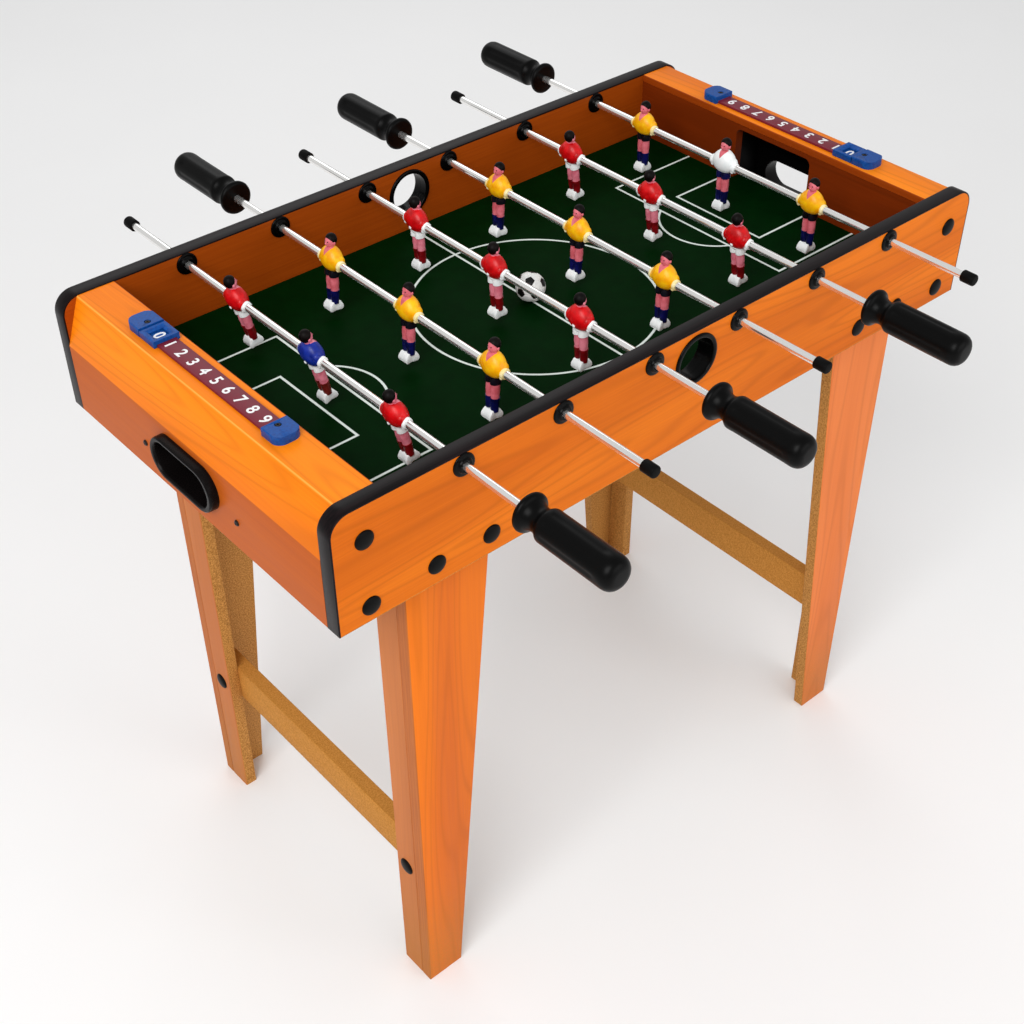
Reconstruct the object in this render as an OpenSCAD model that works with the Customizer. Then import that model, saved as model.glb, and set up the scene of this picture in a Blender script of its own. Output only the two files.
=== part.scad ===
// A family foosball table on four legs: six sliding, spinning rods over a walled playing field,
// an end box with a goal and a ball outlet at each end, and a sliding score counter on each end.
// +X runs along the table, the front is towards -Y, and the floor is at z = 0.

/* [Table] */
// Length of the table over the ends of its side panels
table_l = 690; // [670:5:830]
// Width of the table over its side panels
table_w = 372; // [340:2:450]
// Height from the floor to the top edge of the side panels
table_h = 598; // [480:2:720]
// Height of a side panel
panel_h = 104; // [100:1:126]
// Thickness of a side panel
panel_t = 14; // [11:0.5:18]
// Radius of a side panel's top corners
corner_r = 17; // [8:1:22]
// Thickness of the dark band on a side panel's edge
band_t = 1.4; // [0.8:0.2:2.4]

/* [Playing field] */
// Depth of the playing surface below the side panels' top edge
field_drop = 63; // [62.5:0.5:66]
// Thickness of the field board
field_t = 3; // [2:0.5:5]
// Depth of the groove that holds the field board in each side panel
groove_depth = 4; // [2:0.5:6]
// Diameter of the ball
ball_d = 26; // [20:0.1:31.2]
// How much larger than the ball a ball outlet's mouth is
outlet_room = 4; // [3:0.5:5]
// How much larger than the ball the bore of a serve ring is
serve_room = 10.8; // [6:0.2:12]
// Across-table place of the ball, off the centre spot
ball_y = 6; // [0:1:8]

/* [End boxes] */
// Distance from a side panel's end to the outer edge of the flat top rail
rail_inset = 15; // [10:1:18]
// Width of the flat top rail
rail_w = 33.5; // [31:0.5:40]
// Depth of the rail's top below the side panels' top edge
rail_drop = 1; // [0.5:0.5:3]
// Depth at which the sloping face meets the upright apron
slope_drop = 41.5; // [36:0.5:46]
// Thickness of the folded end board
board_t = 7; // [5:0.5:8]
// Thickness of the wall with the goal in it
wall_t = 9; // [6:0.5:10]

/* [Goals and ball outlets] */
// Width of a goal
goal_w = 90; // [75:1:105]
// Depth of a goal's top edge below the side panels' top edge
goal_drop = 12.3; // [11:0.1:16]
// Outer width of a ball outlet's collar
cup_w = 85; // [72:1:102]
// Width of a ball outlet's rim between its mouth and its outer edge
cup_rim = 4; // [3:0.5:5]
// How far the collar stands out from the apron
cup_reach = 8; // [4:1:12]
// Depth of the outlet's centre below the side panels' top edge
cup_drop = 67; // [66:0.5:69]

/* [Rods] */
// Distance between neighbouring rods
rod_gap = 92.5; // [91.5:0.5:96]
// Diameter of a rod
rod_d = 6.5; // [5:0.5:8]
// Depth of the rod axis below the side panels' top edge
rod_drop = 10.5; // [10.5:0.5:13]
// How far a rod's capped end stands out from the table with the rod centred
cap_out = 88; // [76:1:100]
// How far a handle's collar stands out from the table with the rod centred
handle_out = 59; // [56:1:80]
// Length of a handle
handle_l = 89; // [80:1:110]
// Radius of a handle's grip
grip_r = 13.2; // [12:0.1:15]
// Radius of a handle's collar
collar_r = 15.2; // [15:0.1:18]

/* [Players] */
// Distance between neighbouring players on a rod
player_gap = 103; // [96:1:104]
// Height of a player's head above the rod axis
head_up = 25.5; // [22:0.5:28]
// Depth of a player's boots below the rod axis
foot_down = 45.5; // [40:0.5:46]
// Width of a player across the body
body_w = 26; // [22:1:30]

/* [Legs] */
// Distance from a side panel's end to the outer corner of a leg
leg_inset = 66.7; // [60:0.1:80]
// Thickness of a leg's boards
leg_t = 12; // [9:0.5:15]
// Width of a leg's side board where it leaves the side panel
leg_top_w = 80.5; // [67:0.1:96.6]
// Width of a leg's side board at the floor
leg_foot_w = 36.5; // [30:0.5:60]
// Width of a leg, across the table, where it leaves the side panel
leg_top_depth = 39; // [36:0.5:60]
// Width of a leg, across the table, at the floor
leg_foot_depth = 37; // [30:0.5:56]
// Height of a cross bar's centre above the floor
bar_z = 146; // [100:1:300]
// Height of a cross bar's section
bar_h = 40; // [30:1:50]
// Thickness of a cross bar
bar_t = 14; // [12:0.5:18]

/* [Score counters] */
// Distance from the table's centre line to the zero digit
first_digit = 75.6; // [70:0.1:84]
// Distance between neighbouring digits
digit_gap = 15.85; // [14:0.05:16]
// Width of the digit strip
strip_w = 16.5; // [14:0.5:18]
// Thickness of the digit strip
strip_t = 2.4; // [1.6:0.2:3]
// Width of a counter's end blocks and slider
block_w = 22.5; // [20:0.5:30]
// Length of an end block
block_l = 20; // [16:0.5:24]
// Height of an end block
block_h = 7; // [6:0.5:9]

/* [Hidden] */
$fn = 64;
rod_count = 6;
running_gap = 0.05;
fit_gap = 0.1;
slide_gap = 0.3;
half_gap = 0.1;
hair = 0.01;
over = 1;
through = 60;

// Levels, all above the floor
panel_z0 = table_h - panel_h;
field_z = table_h - field_drop;
rail_z = table_h - rail_drop;
slope_z = table_h - slope_drop;
goal_z = table_h - goal_drop;
cup_z = table_h - cup_drop;
rod_z = table_h - rod_drop;

// Places along and across the table
half_l = table_l / 2;
inner_half = table_w / 2 - panel_t;
rail_x = half_l - rail_inset;
wall_x = rail_x - rail_w;
cavity_x = wall_x + wall_t;
apron_x = half_l - board_t;
leg_x = half_l - leg_inset;
leg_y = inner_half - leg_t;

// Inner corners of the folded end board, each a mitre between two faces
slope_len = norm([rail_inset, slope_drop - rail_drop]);
slope_normal = [slope_drop - rail_drop, rail_inset] / slope_len;
rail_corner = [rail_x, rail_z] - board_t * mitre([0, 1], slope_normal);
apron_corner = [half_l, slope_z] - board_t * mitre(slope_normal, [1, 0]);

// Rod bushings and serve rings, both made as two equal halves
bushing_flange_r = 9.6;
bushing_flange_t = 1.5;
bushing_hub_r = 5.6;
bushing_hub_h = 3.4;
bushing_hub_taper = 0.6;
bushing_sleeve_r = 6;
flange_taper = 0.8;
serve_drop = 27;
serve_z = table_h - serve_drop;
serve_wall = 1.6;
serve_lip = 2.5;
serve_bore_r = (ball_d + serve_room) / 2;
serve_sleeve_r = serve_bore_r + serve_wall;
serve_flange_r = serve_sleeve_r + serve_lip;
serve_flange_t = 1.8;

// Bolts with domed black heads, and small screws
bolt_r = 3;
panel_bolt_bite = 10;
panel_bolt_l = panel_t + panel_bolt_bite;
bar_bolt_bite = 12;
bar_bolt_l = leg_t + bar_bolt_bite;
bolt_head_r = 8;
bolt_head_h = 2.6;
bolt_rim_h = 1;
end_bolts = [[half_l - 27.2, table_h - 29.6], [half_l - 28.5, table_h - 90]];
leg_bolt_drop = 86.4;
leg_bolt_z = table_h - leg_bolt_drop;
leg_bolt_out_edge = 20;
leg_bolt_in_edge = 11.2;
leg_bolt_xs = [leg_x - leg_bolt_out_edge, leg_x - leg_width(leg_bolt_z) + leg_bolt_in_edge];
bar_bolt_edge = 13.6;
bar_bolt_y = inner_half - leg_depth(bar_z) + bar_bolt_edge;
screw_r = 1.25;
screw_l = 10;
screw_head_r = 2.6;
screw_head_h = 1.5;
screw_head_taper = 0.9;
cup_screw_out = 21.5;
cup_screw_down = 10;
cup_screw_y = cup_w / 2 + cup_screw_out;
cup_screw_z = cup_z - cup_screw_down;

// Ball outlet and the goal liner behind it
cup_end_rim = 5.5;
cup_mouth_w = cup_w - 2 * cup_end_rim;
cup_mouth_h = ball_d + outlet_room;
cup_h = cup_mouth_h + 2 * cup_rim;
cup_sleeve = 2;
liner_t = 2;
liner_gap = 5;
liner_half_w = max(goal_w / 2, cup_mouth_w / 2 + cup_sleeve) + liner_gap;
liner_sill = 1;
liner_floor_z = cup_z - cup_mouth_h / 2 + liner_sill;
liner_floor_t = 8;
liner_base_z = liner_floor_z - liner_floor_t;
liner_lift = 1;
liner_top_z = rail_z - board_t - liner_lift;
ear_half_h = 10;
ear_reach = 8;

// Glue blocks in the corners of the end boxes
corner_block_w = 20;
corner_block_lift = 4;

// How each rod stands: how far it is slid to the back, and the angle that its men's feet are swung to +X
rod_slides = [-7, -6, -2, -2, 3, 1];
rod_turns = [13, -3, 3, -2, 8, 0];

// Rod caps and handles
cap_r = 5;
cap_l = 12;
cap_bore_l = 9;
cap_round = 1;
rod_wall = 0.8;
neck_r = 9.8;
neck_hollow_r = 8.4;
neck_at = 13;
collar_t = 5.6;
grip_from = 20.5;
grip_round = 8;
grip_bore_l = 62;
flute_count = 8;
flute_r = 7;
flute_depth = 0.5;
flute_inset = 4;

// Score counter, counted along the strip from the table's centre line
strip_shift = 1;
strip_x = wall_x + rail_w / 2 - strip_shift;
slider_l = 21;
slider_h = 5.6;
window_l = 11;
window_w = 12;
last_digit = 9;
strip_spare = 0.9;
strip_stop = 0.5;
strip_far = first_digit + slider_l / 2 + strip_spare;
strip_near = first_digit - last_digit * digit_gap - slider_l / 2 - strip_stop;
scoop_r = 10;
scoop_out = 7.6;
block_scoop_up = 5.6;
slider_scoop_up = 6.4;

// Players, measured from the rod axis
torso_r = 8.5;
torso_z = 3.5;
head_r = 6.3;
hub_r = 5.4;
hub_stub = 1.5;
hub_half = body_w / 2 + hub_stub;
neck_post_r = 3.4;
arm_r = 2.8;
arm_back = 2;
arm_in = 1.4;
arm_drop = 5;
short_r = 6;
shorts_w = 14;
shorts_l = 15;
shin_r = 3.4;
shin_apart = 6.6;
shin_lift = 4;
boot_half_w = 5.6;
boot_top = 9;

// The vector from an outer corner to the matching inner corner of a unit-thick wall
function mitre(a, b) = (a + b) / (1 + a * b);
function rod_x(i) = (i - (rod_count + 1) / 2) * rod_gap;
// Odd rods are worked from the front, even rods from the back
function handle_side(i) = i % 2 == 1 ? -1 : 1;
function leg_name(c) = ["front_left", "front_right", "back_left", "back_right"][c - 1];
function leg_end(c) = c % 2 == 1 ? -1 : 1;
function leg_side(c) = c <= 2 ? -1 : 1;
function is_keeper_rod(i) = i == 1 || i == rod_count;
function leg_width(z) = leg_foot_w + (leg_top_w - leg_foot_w) * z / panel_z0;
function leg_depth(z) = leg_foot_depth + (leg_top_depth - leg_foot_depth) * z / panel_z0;

// Stands an outline drawn in X and Z upright, as a slab centred on y = 0
module upright(thick) {
    rotate([90, 0, 0]) linear_extrude(thick, center = true) children();
}

// Turns a shape built along +Z so that it points along +Y or -Y
module pointing_across(side) {
    rotate([side < 0 ? 90 : -90, 0, 0]) children();
}

// Turns a shape built along +Z so that it points along +X or -X
module pointing_along(end) {
    rotate([0, end * 90, 0]) children();
}

// Moves a part drawn at the origin along Y to rod i as it stands
module on_rod(i) {
    translate([rod_x(i), rod_slides[i - 1], rod_z]) rotate([0, -rod_turns[i - 1], 0]) children();
}

// Puts a part drawn for the right-hand end at either end
module at_end(end) {
    mirror([end < 0 ? 1 : 0, 0, 0]) children();
}

// Puts a part drawn for the back side at either side
module at_side(side) {
    mirror([0, side < 0 ? 1 : 0, 0]) children();
}

module round_rect(w, h, r) {
    square([w - 2 * r, h], center = true);
    square([w, h - 2 * r], center = true);
    for (x = [-1, 1])
        for (y = [-1, 1])
            translate([x * (w / 2 - r), y * (h / 2 - r)]) circle(r);
}

// A rectangle standing on z = 0 with its two top corners rounded
module round_topped(w, h, r) {
    translate([-w / 2, 0]) square([w, h - r]);
    translate([r - w / 2, 0]) square([w - 2 * r, h]);
    for (x = [-1, 1])
        translate([x * (w / 2 - r), h - r]) circle(r);
}

module panel_outline() {
    round_topped(table_l - 2 * band_t, panel_h - band_t, corner_r - band_t);
}

module bolt(length) {
    dome_r = (bolt_head_r ^ 2 + (bolt_head_h - bolt_rim_h) ^ 2) / (2 * (bolt_head_h - bolt_rim_h));
    intersection() {
        cylinder(r = bolt_head_r, h = bolt_head_h);
        translate([0, 0, bolt_head_h - dome_r]) sphere(dome_r);
    }
    translate([0, 0, -length]) cylinder(r = bolt_r, h = length);
}

module bolt_hole() {
    cylinder(r = bolt_r + fit_gap, h = through, center = true);
}

// Places its child at each bolt that passes through a side panel's outer face
module at_panel_bolts(side) {
    for (end = [-1, 1]) {
        for (spot = end_bolts)
            translate([end * spot[0], side * table_w / 2, spot[1]]) pointing_across(side) children();
        for (x = leg_bolt_xs)
            translate([end * x, side * table_w / 2, leg_bolt_z]) pointing_across(side) children();
    }
}

// Places its child at each bolt that passes through a leg's end board into a cross bar
module at_bar_bolts() {
    for (end = [-1, 1])
        for (side = [-1, 1])
            translate([end * leg_x, side * bar_bolt_y, bar_z]) pointing_along(end) children();
}

module at_cup_screws(end) {
    for (side = [-1, 1])
        translate([end * half_l, side * cup_screw_y, cup_screw_z]) pointing_along(end) children();
}

module side_panel(side) {
    color("chocolate") difference() {
        translate([0, side * (table_w / 2 - panel_t / 2), panel_z0]) upright(panel_t) panel_outline();
        for (i = [1:rod_count])
            translate([rod_x(i), side * table_w / 2, rod_z]) pointing_across(side)
                cylinder(r = bushing_sleeve_r + fit_gap, h = through, center = true);
        translate([0, side * table_w / 2, serve_z]) pointing_across(side)
            cylinder(r = serve_sleeve_r + fit_gap, h = through, center = true);
        at_panel_bolts(side) bolt_hole();
        translate([-cavity_x, side * inner_half - groove_depth, field_z - field_t])
            cube([2 * cavity_x, 2 * groove_depth, field_t]);
    }
}

module edge_band(side) {
    color("black") translate([0, side * (table_w / 2 - panel_t / 2), panel_z0]) upright(panel_t)
        difference() {
            round_topped(table_l, panel_h, corner_r);
            panel_outline();
            translate([-half_l + band_t, -over]) square([table_l - 2 * band_t, 2 * over]);
        }
}

// The folded board at an end: flat rail, sloping face and upright apron in one
module end_board(end) {
    color("darkorange") difference() {
        at_end(end) upright(2 * inner_half) polygon([
            [wall_x, rail_z], [rail_x, rail_z], [half_l, slope_z], [half_l, panel_z0],
            [apron_x, panel_z0], apron_corner, rail_corner, [wall_x, rail_z - board_t]
        ]);
        at_end(end) translate([half_l, 0, cup_z]) outlet_hole();
        at_cup_screws(end) cylinder(r = screw_r + fit_gap, h = through, center = true);
        at_counter(end) at_counter_screws() cylinder(r = screw_r + fit_gap, h = through, center = true);
    }
}

module goal_wall(end) {
    goal_round = 6;
    color("sienna") at_end(end) translate([wall_x, 0, field_z]) rotate([90, 0, 90]) linear_extrude(wall_t)
        difference() {
            translate([-inner_half, 0]) square([2 * inner_half, rail_z - board_t - field_z]);
            round_topped(goal_w, goal_z - field_z, goal_round);
        }
}

module corner_blocks() {
    color("burlywood") difference() {
        for (end = [-1, 1])
            for (side = [-1, 1])
                at_end(end) translate([0, side * (inner_half - corner_block_w / 2), 0])
                    upright(corner_block_w) polygon([
                        [cavity_x, panel_z0 + corner_block_lift], [apron_x, panel_z0 + corner_block_lift],
                        apron_corner, rail_corner, [cavity_x, rail_z - board_t]
                    ]);
        for (side = [-1, 1])
            at_panel_bolts(side) bolt_hole();
    }
}

module field_board() {
    color("darkgreen") translate([-cavity_x, -inner_half - groove_depth, field_z - field_t])
        cube([2 * cavity_x, 2 * (inner_half + groove_depth), field_t]);
}

module outlet_shape(grow) {
    r = cup_mouth_h / 2 + grow;
    pointing_along(1) linear_extrude(through, center = true)
        round_rect(cup_mouth_h + 2 * grow, cup_mouth_w + 2 * grow, r - hair);
}

module outlet_hole() {
    outlet_shape(cup_sleeve + fit_gap);
}

// Black collar round the ball outlet, with a sleeve through the apron and the liner
module ball_outlet(end) {
    color("black") at_end(end) translate([half_l, 0, cup_z]) difference() {
        union() {
            pointing_along(1) linear_extrude(cup_reach) round_rect(cup_h, cup_w, cup_h / 2 - hair);
            intersection() {
                outlet_shape(cup_sleeve);
                translate([-board_t - liner_t, -cup_w, -cup_h])
                    cube([board_t + liner_t, 2 * cup_w, 2 * cup_h]);
            }
        }
        outlet_shape(0);
    }
}

// Black box between goal and outlet, with a floor that runs down to the outlet
module goal_liner(end) {
    slope_run = (rail_corner - apron_corner) * (liner_top_z - apron_corner[1])
        / (rail_corner[1] - apron_corner[1]);
    top_corner = apron_corner + slope_run;
    color("black") at_end(end) difference() {
        union() {
            upright(2 * liner_half_w) polygon([
                [cavity_x, liner_base_z], [apron_x, liner_base_z], apron_corner, top_corner,
                [cavity_x, liner_top_z]
            ]);
            translate([apron_x - liner_t, -cup_screw_y - ear_reach, cup_screw_z - ear_half_h])
                cube([liner_t, 2 * (cup_screw_y + ear_reach), 2 * ear_half_h]);
        }
        upright(2 * (liner_half_w - liner_t)) polygon([
            [cavity_x - over, field_z], [cavity_x, field_z], [apron_x - liner_t, liner_floor_z],
            apron_corner - [liner_t, 0], top_corner - [liner_t, liner_t],
            [cavity_x - over, liner_top_z - liner_t]
        ]);
        translate([half_l, 0, cup_z]) outlet_hole();
        at_cup_screws(1) cylinder(r = screw_r + fit_gap, h = through, center = true);
    }
}

// Half of a bushing: an outer flange, a low hub and a sleeve to the panel's middle
module bushing_half() {
    bore_r = rod_d / 2 + running_gap;
    sleeve_l = panel_t / 2 - half_gap;
    difference() {
        union() {
            translate([0, 0, -sleeve_l]) cylinder(r = bushing_sleeve_r, h = sleeve_l);
            cylinder(r1 = bushing_flange_r, r2 = bushing_flange_r - flange_taper, h = bushing_flange_t);
            cylinder(r1 = bushing_hub_r + bushing_hub_taper, r2 = bushing_hub_r, h = bushing_hub_h);
        }
        cylinder(r = bore_r, h = through, center = true);
    }
}

module serve_ring_half() {
    sleeve_l = panel_t / 2 - half_gap;
    difference() {
        union() {
            translate([0, 0, -sleeve_l]) cylinder(r = serve_sleeve_r, h = sleeve_l);
            cylinder(r1 = serve_flange_r, r2 = serve_flange_r - flange_taper, h = serve_flange_t);
        }
        cylinder(r = serve_bore_r, h = through, center = true);
    }
}

// Places its child on both faces of both side panels, pointing out of each face
module on_panel_faces() {
    for (side = [-1, 1]) {
        translate([0, side * table_w / 2, 0]) pointing_across(side) children();
        translate([0, side * inner_half, 0]) pointing_across(-side) children();
    }
}

module rod_bushing_halves() {
    color("black") for (i = [1:rod_count])
        translate([rod_x(i), 0, rod_z]) on_panel_faces() bushing_half();
}

module serve_ring_halves() {
    color("black") translate([0, 0, serve_z]) on_panel_faces() serve_ring_half();
}

module bolts() {
    color("black") {
        for (side = [-1, 1])
            at_panel_bolts(side) bolt(panel_bolt_l);
        at_bar_bolts() bolt(bar_bolt_l);
    }
}

module screw() {
    cylinder(r1 = screw_head_r, r2 = screw_head_r - screw_head_taper, h = screw_head_h);
    translate([0, 0, -screw_l]) cylinder(r = screw_r, h = screw_l);
}

module small_screws() {
    color("dimgray") for (end = [-1, 1]) {
        at_cup_screws(end) screw();
        at_counter(end) at_counter_screws() screw();
    }
}

// Puts a score counter on an end rail; zero is at the back on the left and at the front on the right
module at_counter(end) {
    rotate([0, 0, end < 0 ? 0 : 180]) translate([-strip_x, 0, rail_z]) children();
}

module at_counter_screws() {
    screw_in = 5;
    seat = block_h - screw_head_h;
    for (y = [strip_far + screw_in, strip_near - screw_in])
        translate([0, y, seat]) children();
}

module score_strip(end) {
    color("maroon") at_counter(end) translate([-strip_w / 2, strip_near, 0])
        cube([strip_w, strip_far - strip_near, strip_t]);
}

module score_end_block() {
    soft = 8;
    difference() {
        linear_extrude(block_h) {
            translate([-block_w / 2, 0]) square([block_w, block_l - soft]);
            translate([soft - block_w / 2, 0]) square([block_w - 2 * soft, block_l]);
            for (x = [-1, 1])
                translate([x * (block_w / 2 - soft), block_l - soft]) circle(soft);
        }
        for (x = [-1, 1])
            translate([x * (block_w / 2 + scoop_out), 0, block_h + block_scoop_up]) rotate([90, 0, 0])
                cylinder(r = scoop_r, h = through, center = true);
    }
}

module score_end_blocks() {
    color("royalblue") difference() {
        for (end = [-1, 1])
            at_counter(end) {
                translate([0, strip_far, 0]) score_end_block();
                translate([0, strip_near, 0]) rotate([0, 0, 180]) score_end_block();
            }
        for (end = [-1, 1])
            at_counter(end) at_counter_screws() {
                cylinder(r = screw_head_r + fit_gap, h = through);
                cylinder(r = screw_r + fit_gap, h = through, center = true);
            }
    }
}

// Blue slider that wraps the strip and shows one digit in its window
module score_slider(end) {
    color("mediumblue") at_counter(end) translate([0, first_digit, slide_gap]) difference() {
        translate([-block_w / 2, -slider_l / 2, 0]) cube([block_w, slider_l, slider_h]);
        translate([0, 0, strip_t / 2 - slide_gap])
            cube([strip_w + 2 * slide_gap, through, strip_t + 2 * slide_gap], center = true);
        cube([window_w, window_l, through], center = true);
        for (x = [-1, 1])
            translate([x * (block_w / 2 + scoop_out), 0, slider_h + slider_scoop_up]) rotate([90, 0, 0])
                cylinder(r = scoop_r, h = through, center = true);
    }
}

module ball() {
    color("white") translate([0, ball_y, field_z + ball_d / 2]) sphere(d = ball_d);
}

// Steel tube: one end in its cap, the other deep in its handle
module rod(i) {
    side = handle_side(i);
    capped_end = table_w / 2 + cap_out - (cap_l - cap_bore_l) - slide_gap;
    gripped_end = table_w / 2 + handle_out + grip_bore_l;
    color("silver") on_rod(i) translate([0, -side * capped_end, 0]) pointing_across(side) difference() {
        cylinder(d = rod_d, h = capped_end + gripped_end);
        cylinder(d = rod_d - 2 * rod_wall, h = 3 * (capped_end + gripped_end), center = true);
    }
}

module rod_cap(i) {
    side = -handle_side(i);
    color("black") on_rod(i) translate([0, side * (table_w / 2 + cap_out - cap_l), 0])
        pointing_across(side) difference() {
            union() {
                cylinder(r = cap_r, h = cap_l - cap_round);
                cylinder(r = cap_r - cap_round, h = cap_l);
                translate([0, 0, cap_l - cap_round]) rotate_extrude()
                    translate([cap_r - cap_round, 0]) circle(cap_round);
            }
            translate([0, 0, cap_bore_l - through]) cylinder(d = rod_d + 2 * running_gap, h = through);
        }
}

// Outline of half a handle: collar, hollow neck, grip and rounded end
module handle_profile() {
    rim_r = collar_t / 2;
    square([collar_r - rim_r, collar_t]);
    translate([collar_r - rim_r, rim_r]) circle(rim_r);
    difference() {
        translate([0, rim_r]) square([grip_r, grip_from - rim_r]);
        translate([neck_r + neck_hollow_r, neck_at]) circle(neck_hollow_r);
    }
    translate([0, grip_from]) square([grip_r, handle_l - grip_round - grip_from]);
    translate([0, grip_from]) square([grip_r - grip_round, handle_l - grip_from]);
    intersection() {
        translate([grip_r - grip_round, handle_l - grip_round]) circle(grip_round);
        translate([0, handle_l - 2 * grip_round]) square([grip_r, 2 * grip_round]);
    }
}

module handle(i) {
    side = handle_side(i);
    flute_from = grip_from + flute_inset;
    flute_l = handle_l - grip_round - flute_inset - flute_from;
    color("black") on_rod(i) translate([0, side * (table_w / 2 + handle_out), 0])
        pointing_across(side) difference() {
            rotate_extrude() handle_profile();
            translate([0, 0, -over])
                cylinder(d = rod_d + 2 * running_gap, h = grip_bore_l + over + slide_gap);
            for (k = [1:flute_count])
                rotate([0, 0, k * 360 / flute_count])
                    translate([grip_r + flute_r - flute_depth, 0, flute_from])
                        cylinder(r = flute_r, h = flute_l);
        }
}

// A moulded player hanging from the rod axis, facing +X
module player() {
    torso_half = body_w / 2 - torso_r;
    boot_sole = 5.3;
    boot_mid = 7;
    boot_rise = 4.5;
    boot_slope = 1.5;
    difference() {
        union() {
            translate([0, 0, torso_z]) {
                rotate([90, 0, 0]) cylinder(r = torso_r, h = 2 * torso_half, center = true);
                for (y = [-1, 1])
                    translate([0, y * torso_half, 0]) sphere(torso_r);
            }
            rotate([90, 0, 0]) cylinder(r = hub_r, h = 2 * hub_half, center = true);
            for (y = [-1, 1])
                translate([-arm_back, y * (body_w / 2 - arm_in), -arm_drop]) {
                    cylinder(r = arm_r, h = torso_z + arm_drop);
                    sphere(arm_r);
                }
            cylinder(r = neck_post_r, h = head_up - head_r);
            translate([0, 0, head_up - head_r]) sphere(head_r);
            translate([0, 0, -shorts_l]) linear_extrude(shorts_l)
                round_rect(2 * short_r, shorts_w, short_r - hair);
            for (y = [-1, 1])
                translate([0, y * shin_apart / 2, shin_lift - foot_down])
                    cylinder(r = shin_r, h = foot_down - shin_lift - short_r);
            upright(2 * boot_half_w) polygon([
                [-boot_sole, -foot_down], [boot_sole, -foot_down], [boot_mid, boot_rise - foot_down],
                [boot_sole - boot_slope, boot_top - foot_down],
                [boot_slope - boot_sole, boot_top - foot_down],
                [-boot_mid, boot_rise - foot_down]
            ]);
        }
        rotate([90, 0, 0]) cylinder(d = rod_d + 2 * running_gap, h = through, center = true);
    }
}

// Places players on rod i, turned to face the way their team plays
module at_players(i, spots) {
    for (y = spots)
        on_rod(i) translate([0, y * player_gap, 0]) rotate([0, 0, i % 2 == 1 ? 0 : 180]) children();
}

module players(i) {
    color(i % 2 == 1 ? "crimson" : "gold") at_players(i, is_keeper_rod(i) ? [-1, 1] : [-1, 0, 1]) player();
}

module goalkeeper(end) {
    color(end < 0 ? "blue" : "whitesmoke") at_players(end < 0 ? 1 : rod_count, [0]) player();
}

// Side board of a leg: its outer edge is upright and its inner edge tapers to the floor
module leg_side_board(c) {
    top_z = field_z - field_t;
    color("peru") difference() {
        at_end(leg_end(c)) translate([0, leg_side(c) * (inner_half - leg_t / 2), 0]) upright(leg_t)
            polygon([
                [leg_x, 0], [leg_x, top_z], [leg_x - leg_width(top_z), top_z], [leg_x - leg_width(0), 0]
            ]);
        at_panel_bolts(leg_side(c)) bolt_hole();
    }
}

// End board of a leg: it butts against the side board and carries the cross bar
module leg_end_board(c) {
    top_z = field_z - field_t;
    color("tan") difference() {
        at_end(leg_end(c)) at_side(leg_side(c)) translate([leg_x - leg_t, 0, 0]) rotate([90, 0, 90])
            linear_extrude(leg_t) polygon([
                [leg_y, 0], [leg_y, top_z], [inner_half - leg_depth(top_z), top_z],
                [inner_half - leg_depth(0), 0]
            ]);
        at_bar_bolts() bolt_hole();
    }
}

module cross_bar(end) {
    color("burlywood") difference() {
        at_end(end) translate([leg_x - leg_t - bar_t, -leg_y, bar_z - bar_h / 2])
            cube([bar_t, 2 * leg_y, bar_h]);
        at_bar_bolts() translate([0, 0, -bar_bolt_l]) cylinder(r = bolt_r + fit_gap, h = bar_bolt_l);
    }
}

side_panel(-1);  // side_panel_front
side_panel(1);  // side_panel_back
edge_band(-1);  // edge_band_front
edge_band(1);  // edge_band_back
end_board(-1);  // end_board_left
end_board(1);  // end_board_right
goal_wall(-1);  // goal_wall_left
goal_wall(1);  // goal_wall_right
corner_blocks();
field_board();
goal_liner(-1);  // goal_liner_left
goal_liner(1);  // goal_liner_right
ball_outlet(-1);  // ball_outlet_left
ball_outlet(1);  // ball_outlet_right
serve_ring_halves();
rod_bushing_halves();
bolts();
small_screws();
score_strip(-1);  // score_strip_left
score_strip(1);  // score_strip_right
score_end_blocks();
score_slider(-1);  // score_slider_left
score_slider(1);  // score_slider_right
ball();
for (i = [1:rod_count]) {
    rod(i);
    handle(i);
    rod_cap(i);
    players(i);
}
goalkeeper(-1);  // goalkeeper_left
goalkeeper(1);  // goalkeeper_right
for (c = [1:4]) {
    leg_side_board(c);
    leg_end_board(c);
}
cross_bar(-1);  // cross_bar_left
cross_bar(1);  // cross_bar_right
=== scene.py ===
import math

import bmesh
import bpy
from mathutils import Matrix, Vector


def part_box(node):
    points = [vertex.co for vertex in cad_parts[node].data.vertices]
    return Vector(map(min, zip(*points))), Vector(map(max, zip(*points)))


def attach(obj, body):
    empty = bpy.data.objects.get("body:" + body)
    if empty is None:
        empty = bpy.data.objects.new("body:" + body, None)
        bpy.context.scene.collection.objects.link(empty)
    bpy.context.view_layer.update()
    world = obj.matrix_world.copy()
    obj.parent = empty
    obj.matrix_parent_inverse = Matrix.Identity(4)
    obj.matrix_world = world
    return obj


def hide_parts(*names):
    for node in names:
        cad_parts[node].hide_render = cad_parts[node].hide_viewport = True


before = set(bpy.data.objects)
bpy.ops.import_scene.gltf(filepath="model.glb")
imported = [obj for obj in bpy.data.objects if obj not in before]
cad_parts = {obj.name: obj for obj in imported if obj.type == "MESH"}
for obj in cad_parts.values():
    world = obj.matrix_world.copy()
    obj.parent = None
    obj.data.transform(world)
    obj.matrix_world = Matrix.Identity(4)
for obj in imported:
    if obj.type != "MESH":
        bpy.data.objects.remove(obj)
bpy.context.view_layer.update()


# --- View, lights and floor -------------------------------------------------------------------
# The table stands on a plain pale floor under broad soft lights: a large one high on the left,
# a wide low one in front, and a weaker one behind that lifts the far side.

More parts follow.
